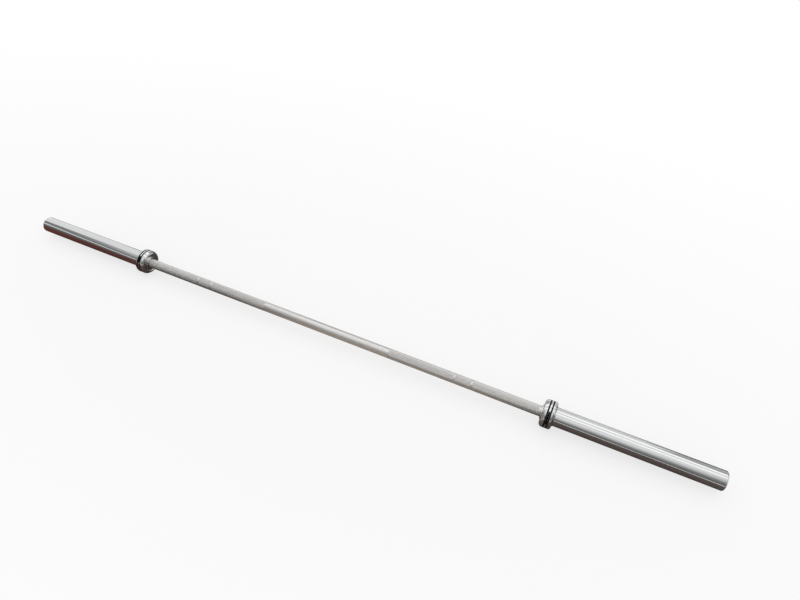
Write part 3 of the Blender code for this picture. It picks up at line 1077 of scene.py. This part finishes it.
sheet = level_sheet(-FLOOR_REACH, FLOOR_REACH, -FLOOR_REACH, FLOOR_REACH, FLOOR_Z)
stage_object(sheet, "floor", floor_material())
print("floor at", round(FLOOR_Z / MM, 2), "mm")

# %% Helpers: colours along the bar
MAT_SPAN = 1.6  # the colours change between this far to the left and this far to the right


def place_axes(tree):
    """The place's distances along X, Y and Z."""
    node = tree.nodes.new("ShaderNodeSeparateXYZ")
    tree.links.new(tree.nodes.new("ShaderNodeTexCoord").outputs["Object"], node.inputs[0])
    return node.outputs


def ramp_of(tree, value, stops):
    """A colour ramp with the given stops. Gives its colour."""
    node = tree.nodes.new("ShaderNodeValToRGB")
    tree.links.new(value, node.inputs[0])
    elements = node.color_ramp.elements
    elements.remove(elements[-1])
    for position, colour in stops.items():
        element = elements[0] if position == 0.0 else elements.new(position)
        element.color = (*colour, 1)
    return node.outputs[0]


def mat_material(name, colours):
    """Dull, in the colours given for distances along the bar from its middle."""
    material, tree = new_material(name)
    shader = tree.nodes["Principled BSDF"]
    shader.inputs["Roughness"].default_value = 1.0
    shader.inputs["Specular IOR Level"].default_value = 0.0
    share = map_range(tree, place_axes(tree)["X"], -MAT_SPAN, MAT_SPAN, 0.0, 1.0)
    stops = {(x + MAT_SPAN) / (2 * MAT_SPAN): colour for x, colour in colours.items()}
    tree.links.new(ramp_of(tree, share, stops), shader.inputs["Base Color"])
    return material


# %% Two mats
CARD_RADIUS = 3.2
MAT_BACK = 0.12
MAT_LIFT = 0.5 * MM  # over the floor
MAT_COLOURS = {
    -MAT_SPAN: (0.16, 0.06, 0.05),
    -0.76: (0.15, 0.06, 0.05),
    -0.64: (0.115, 0.097, 0.088),
    -0.4: (0.15, 0.115, 0.1),
    -0.16: (0.46, 0.385, 0.33),
    0.25: (0.5, 0.42, 0.36),
    0.5: (0.43, 0.36, 0.3),
    0.66: (0.135, 0.105, 0.096),
    1.2: (0.135, 0.105, 0.096),
    1.3: PALE,
}
FAR_ENDS = (-1.15, 1.35)
FAR_BACK = 2.5
DARK = (0.12, 0.12, 0.12)
GREY = (0.22, 0.22, 0.22)
FAR_COLOURS = {
    -MAT_SPAN: PALE,
    -0.95: PALE,
    -0.85: DARK,
    -0.5: DARK,
    -0.4: PALE,
    0.9: PALE,
    1.03: GREY,
    1.2: GREY,
    1.3: PALE,
}
mat = level_sheet(-CARD_RADIUS, CARD_RADIUS, -CARD_RADIUS, MAT_BACK, FLOOR_Z + MAT_LIFT)
far_mat = level_sheet(*FAR_ENDS, MAT_BACK, FAR_BACK, FLOOR_Z + MAT_LIFT)
only_in_reflections(stage_object(mat, "reflected_mat", mat_material("reflected_mat", MAT_COLOURS)))
only_in_reflections(stage_object(far_mat, "far_mat", mat_material("far_mat", FAR_COLOURS)))
print("mats meet", MAT_BACK, "m behind the bar")

# %% Graduated card, glowing with its own light
CARD_TOP = 5.0
CARD_STEPS = 48
CARD_TONES = {0.0: 0.14, 0.75: 0.18, 1.5: 0.27, 1.95: 0.37, 2.35: 0.52, 2.75: 0.66, 4.25: 0.86, 5.0: 1.0}
LINE_TONE = 1.0
LINE_HEIGHT = 0.3  # of the light line, where the card stands straight in front
LINE_RISE = 0.2  # towards the left, for each metre
LINE_HALF = 0.18


def glowing_card_material():
    """Glows with its own light: dark at the foot and as bright as the white room at the top, with a
    slanting light line painted into the glow.
    """
    material, tree = new_material("glowing_reflected_card")
    tree.nodes.remove(tree.nodes["Principled BSDF"])
    place = place_axes(tree)
    share = map_range(tree, place["Z"], 0.0, CARD_TOP, 0.0, 1.0)
    tones = ramp_of(tree, share, {z / CARD_TOP: (tone,) * 3 for z, tone in CARD_TONES.items()})
    rise = math_node(tree, "MULTIPLY", place["X"], LINE_RISE)
    above = math_node(tree, "SUBTRACT", math_node(tree, "ADD", place["Z"], rise), LINE_HEIGHT)
    line = map_range(tree, math_node(tree, "ABSOLUTE", above), LINE_HALF / 2, LINE_HALF, 1.0, 0.0)
    glow = tree.nodes.new("ShaderNodeEmission")
    tree.links.new(mix_colours(tree, line, tones, (LINE_TONE,) * 3), glow.inputs["Color"])
    tree.links.new(glow.outputs[0], tree.nodes["Material Output"].inputs["Surface"])
    return material


def half_drum():
    """Half a tall drum about the bar's middle, open behind the bar."""
    bm = bmesh.new()
    foot = bm.verts.new((-CARD_RADIUS, 0, FLOOR_Z))
    top = bm.verts.new((-CARD_RADIUS, 0, CARD_TOP))
    bm.edges.new((foot, top))
    spin(bm, bm.verts[:] + bm.edges[:], axis=(0, 0, 1), angle=math.pi, steps=CARD_STEPS)
    return bm


# The card glows: its dark foot and light line are painted light, seen only in reflections.
only_in_reflections(stage_object(half_drum(), "glowing_reflected_card", glowing_card_material()))
print("card", CARD_TOP, "m high")

# %% Three boards
BOARD_PLACE = 1.7
BOARDS = {  # from, to and height in metres, and the tones that it changes between over the mats' span
    "left_board": (-1.15, 0.65, 1.15, (0.03, 1.0)),
    "middle_board": (0.65, 1.4, 0.75, (0.6, 1.0)),
    "right_board": (1.4, 4.5, 1.6, (0.6, 0.6)),
}


def back_board(left, right, height):
    """A board standing behind the bar, in line with it: a level sheet turned up on its edge."""
    bm = level_sheet(left, right, 0, height, 0)
    bmesh.ops.rotate(bm, verts=bm.verts, matrix=Matrix.Rotation(math.radians(90), 3, "X"))
    bmesh.ops.translate(bm, verts=bm.verts, vec=(0, BOARD_PLACE, FLOOR_Z))
    return bm


for name, (left, right, height, tones) in BOARDS.items():
    colours = {x: (tone,) * 3 for x, tone in zip((-MAT_SPAN, MAT_SPAN), tones)}
    only_in_reflections(stage_object(back_board(left, right, height), name, mat_material(name, colours)))
print("boards:", len(BOARDS))

# %% [markdown]
# Two long lamps hang over the bar, in line with it, so that each draws one bright streak along a sleeve
# with a thin grey line between them. The world is a white room: white where it is seen, directly or in a
# reflection, and softer where it lights dull surfaces, to leave room for the lamps.

# %% Lamps and world
LAMPS = {  # place, size and radiance
    "back_strip": ((0, 1.55, 1.95), (5.0, 0.55), 0.6),
    "top_strip": ((0, 0.25, 2.5), (5.0, 0.45), 0.55),
}
ROOM_FOR_DULL = 0.85  # the world's strength where it lights dull surfaces


def strip_lamp(name, place, size, radiance):
    """A long soft lamp in line with the bar, aimed at it. Its power follows from its brightness."""
    data = bpy.data.lights.new(name, "AREA")
    data.shape = "RECTANGLE"
    data.size, data.size_y = size
    data.energy = radiance * math.pi * size[0] * size[1]
    lamp = bpy.data.objects.new(name, data)
    lamp.location = place
    lamp.rotation_euler = (-Vector(place)).to_track_quat("-Z", "Y").to_euler()
    bpy.context.scene.collection.objects.link(lamp)


def white_room():
    world = bpy.data.worlds.new("white_room")
    world.use_nodes = True
    tree = world.node_tree
    background = tree.nodes["Background"]
    background.inputs["Color"].default_value = (1, 1, 1, 1)
    strength = map_range(tree, seen_rays(tree), 0.0, 1.0, ROOM_FOR_DULL, 1.0)
    tree.links.new(strength, background.inputs["Strength"])
    return world


for name, (place, size, radiance) in LAMPS.items():
    strip_lamp(name, place, size, radiance)
bpy.context.scene.world = white_room()
print("lamps:", len(LAMPS))

# %% [markdown]
# ## Camera
#
# The picture was taken from above and to the right, looking down at the bar. The place, the heading and
# the tilt are those that put the collars and the sleeves' ends where the picture has them.

# %% Camera
CAMERA_PLACE = (0.678, -0.921, 1.346)
HEADING = 25.42  # degrees to the left of straight across the bar
TILT = 47.37  # degrees below the horizon
SENSOR, LENS = 36, 27  # in millimetres
NEAR, FAR = 0.05, 100
data = bpy.data.cameras.new("camera")
data.sensor_width = SENSOR
data.lens = LENS
data.clip_start = NEAR
data.clip_end = FAR
camera = bpy.data.objects.new("camera", data)
camera.location = CAMERA_PLACE
camera.rotation_euler = (math.radians(90 - TILT), 0, math.radians(HEADING))
bpy.context.scene.collection.objects.link(camera)
bpy.context.scene.camera = camera
bpy.context.scene.view_settings.view_transform = "Standard"
print("camera at", CAMERA_PLACE)
